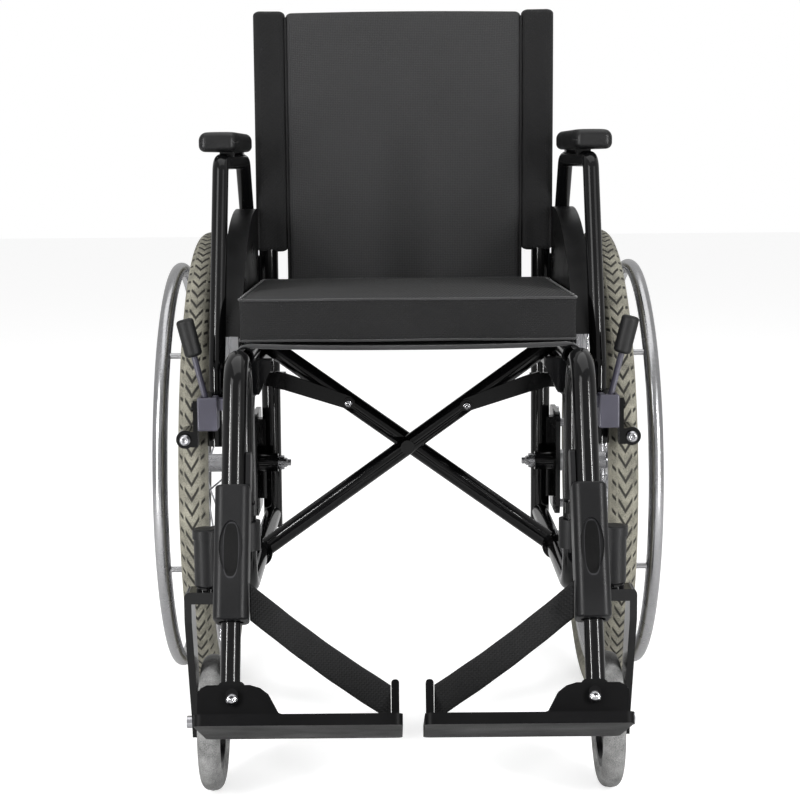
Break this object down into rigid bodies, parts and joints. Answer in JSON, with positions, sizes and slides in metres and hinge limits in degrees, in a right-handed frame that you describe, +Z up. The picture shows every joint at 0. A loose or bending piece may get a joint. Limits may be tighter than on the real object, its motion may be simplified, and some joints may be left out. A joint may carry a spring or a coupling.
{
  "type": "manual wheelchair",
  "caption": "Folding manual wheelchair with crossed bars, spoked rear wheels with hand rims, front casters, lift-out armrests and swing-away footrests.",
  "frame": {"origin": "on the floor, under the middle of the bounding box", "axes": "+X to the occupant's left, +Y towards the back of the chair, +Z up; the chair faces -Y"},
  "size_m": [0.6054, 1.006, 0.897],
  "materials": {
    "black_paint": "gloss",
    "grey_plastic": "satin",
    "black_plastic": "satin",
    "bright_steel": "polished",
    "black_fabric": "woven",
    "black_rubber": "matt",
    "grey_casting": "satin",
    "grey_tyre": "matt",
    "rim_aluminium": "satin",
    "hub_aluminium": "satin",
    "pad_foam": "moulded",
    "black_webbing": "webbing"
  },
  "bodies": {
    "right_frame": {"right_caster_housing": "grey_plastic", "right_side_guard": "black_plastic", "right_frame_bolts": "bright_steel", "right_back_sleeve": "black_fabric", "right_push_grip": "black_rubber", "right_brake_block": "grey_casting", "right_side_frame": "black_paint", "back_panel": "black_fabric"},
    "right_wheel": {"right_rear_tyre": "grey_tyre", "right_rear_rim": "rim_aluminium", "right_rear_hub": "hub_aluminium", "right_spokes": "bright_steel", "right_hand_rim": "rim_aluminium"},
    "right_caster_swivel": {"right_caster_fork": "black_paint", "right_caster_axle": "bright_steel"},
    "right_caster_wheel": {"right_caster_tyre": "grey_tyre", "right_caster_hub": "black_plastic"},
    "right_armrest": {"right_arm_frame": "black_paint", "right_arm_pad": "pad_foam"},
    "right_brake_handle": {"right_brake_lever": "grey_casting", "right_brake_grip": "black_rubber"},
    "right_brake_stop": {"right_brake_shoe": "grey_casting"},
    "right_hanger": {"right_hanger_tube": "black_paint", "right_hanger_shroud": "grey_plastic", "right_footrest_leg": "black_paint", "right_heel_strap": "black_webbing"},
    "right_foot": {"right_footplate": "black_plastic"},
    "right_brace_link": {"right_link": "black_paint"},
    "left_frame": {"left_caster_housing": "grey_plastic", "left_side_guard": "black_plastic", "left_frame_bolts": "bright_steel", "left_back_sleeve": "black_fabric", "left_push_grip": "black_rubber", "left_brake_block": "grey_casting", "left_side_frame": "black_paint"},
    "left_wheel": {"left_rear_tyre": "grey_tyre", "left_rear_rim": "rim_aluminium", "left_rear_hub": "hub_aluminium", "left_spokes": "bright_steel", "left_hand_rim": "rim_aluminium"},
    "left_caster_swivel": {"left_caster_fork": "black_paint", "left_caster_axle": "bright_steel"},
    "left_caster_wheel": {"left_caster_tyre": "grey_tyre", "left_caster_hub": "black_plastic"},
    "left_armrest": {"left_arm_frame": "black_paint", "left_arm_pad": "pad_foam"},
    "left_brake_handle": {"left_brake_lever": "grey_casting", "left_brake_grip": "black_rubber"},
    "left_brake_stop": {"left_brake_shoe": "grey_casting"},
    "left_hanger": {"left_hanger_tube": "black_paint", "left_hanger_shroud": "grey_plastic", "left_footrest_leg": "black_paint", "left_heel_strap": "black_webbing"},
    "left_foot": {"left_footplate": "black_plastic"},
    "left_brace_link": {"left_link": "black_paint"},
    "front_bar": {"left_rising_bar": "black_paint", "cross_bolt": "bright_steel", "seat_sling": "black_fabric", "seat_cushion": "black_fabric"},
    "rear_bar": {"right_rising_bar": "black_paint"}
  },
  "joints": [
    {"name": "fold", "type": "hinge", "parent": "right_frame", "child": "front_bar", "pos_m": [-0.181, 0.0172, 0.228], "axis": [0, -1, 0], "range_deg": [0, 41.87], "deforming": ["seat_sling", "seat_cushion", "back_panel"]},
    {"name": "cross_pivot", "type": "hinge", "parent": "front_bar", "child": "rear_bar", "pos_m": [0, 0.0172, 0.358], "axis": [0, 1, 0], "range_deg": [0, 83.75]},
    {"name": "left_frame_pivot", "type": "hinge", "parent": "rear_bar", "child": "left_frame", "pos_m": [0.181, 0.0172, 0.228], "axis": [0, -1, 0], "range_deg": [0, 41.88]},
    {"name": "right_link_pivot", "type": "hinge", "parent": "right_frame", "child": "right_brace_link", "pos_m": [-0.1565, 0.0172, 0.4408], "axis": [0, -1, 0], "range_deg": [0, 107.45]},
    {"name": "right_hanger_swing", "type": "hinge", "parent": "right_frame", "child": "right_hanger", "pos_m": [-0.181, -0.2278, 0.00039], "axis": [0, 0, -1], "range_deg": [0, 90.01]},
    {"name": "right_footplate_flip", "type": "hinge", "parent": "right_hanger", "child": "right_foot", "pos_m": [-0.176, -0.43102, 0.17635], "axis": [0, -0.9135, 0.4067], "range_deg": [0, 90], "deforming": ["right_heel_strap"]},
    {"name": "right_armrest_lift", "type": "slide", "parent": "right_frame", "child": "right_armrest", "axis": [0, 0, 1], "range_m": [0, 0.055]},
    {"name": "right_brake_lever_pivot", "type": "hinge", "parent": "right_frame", "child": "right_brake_handle", "pos_m": [-0.227, -0.1328, 0.431], "axis": [1, 0, 0], "range_deg": [0, 38]},
    {"name": "right_brake_shoe_pivot", "type": "hinge", "parent": "right_frame", "child": "right_brake_stop", "pos_m": [-0.227, -0.1328, 0.426], "axis": [1, 0, 0], "range_deg": [0, 6.27]},
    {"name": "right_wheel_spin", "type": "hinge", "parent": "right_frame", "child": "right_wheel", "pos_m": [-0.251, 0.1972, 0.305], "axis": [1, 0, 0], "continuous": true},
    {"name": "right_caster_turn", "type": "hinge", "parent": "right_frame", "child": "right_caster_swivel", "pos_m": [-0.222, -0.2378, 0.00026], "axis": [0, 0, 1], "continuous": true},
    {"name": "right_caster_spin", "type": "hinge", "parent": "right_caster_swivel", "child": "right_caster_wheel", "pos_m": [-0.222, -0.1928, 0.076], "axis": [1, 0, 0], "continuous": true},
    {"name": "left_link_pivot", "type": "hinge", "parent": "left_frame", "child": "left_brace_link", "pos_m": [0.1565, 0.0172, 0.4408], "axis": [0, 1, 0], "range_deg": [0, 107.45]},
    {"name": "left_hanger_swing", "type": "hinge", "parent": "left_frame", "child": "left_hanger", "pos_m": [0.181, -0.2278, 0.00039], "axis": [0, 0, 1], "range_deg": [0, 90.01]},
    {"name": "left_footplate_flip", "type": "hinge", "parent": "left_hanger", "child": "left_foot", "pos_m": [0.176, -0.43102, 0.17635], "axis": [0, 0.9135, -0.4067], "range_deg": [0, 90], "deforming": ["left_heel_strap"]},
    {"name": "left_armrest_lift", "type": "slide", "parent": "left_frame", "child": "left_armrest", "axis": [0, 0, 1], "range_m": [0, 0.055]},
    {"name": "left_brake_lever_pivot", "type": "hinge", "parent": "left_frame", "child": "left_brake_handle", "pos_m": [0.227, -0.1328, 0.431], "axis": [1, 0, 0], "range_deg": [0, 38]},
    {"name": "left_brake_shoe_pivot", "type": "hinge", "parent": "left_frame", "child": "left_brake_stop", "pos_m": [0.227, -0.1328, 0.426], "axis": [1, 0, 0], "range_deg": [0, 6.27]},
    {"name": "left_wheel_spin", "type": "hinge", "parent": "left_frame", "child": "left_wheel", "pos_m": [0.251, 0.1972, 0.305], "axis": [1, 0, 0], "continuous": true},
    {"name": "left_caster_turn", "type": "hinge", "parent": "left_frame", "child": "left_caster_swivel", "pos_m": [0.222, -0.2378, 0.00026], "axis": [0, 0, 1], "continuous": true},
    {"name": "left_caster_spin", "type": "hinge", "parent": "left_caster_swivel", "child": "left_caster_wheel", "pos_m": [0.222, -0.1928, 0.076], "axis": [1, 0, 0], "continuous": true}
  ],
  "couplings": [
    {"joint": "cross_pivot", "follows": "fold", "ratio": 2},
    {"joint": "left_frame_pivot", "follows": "fold", "ratio": 1},
    {"joint": "right_link_pivot", "follows": "fold", "ratio": 2.5658},
    {"joint": "right_hanger_swing", "follows": "fold", "ratio": 2.1493},
    {"joint": "right_brake_shoe_pivot", "follows": "right_brake_lever_pivot", "ratio": 0.165},
    {"joint": "left_link_pivot", "follows": "fold", "ratio": 2.5658},
    {"joint": "left_hanger_swing", "follows": "fold", "ratio": 2.1493},
    {"joint": "left_brake_shoe_pivot", "follows": "left_brake_lever_pivot", "ratio": 0.165}
  ]
}
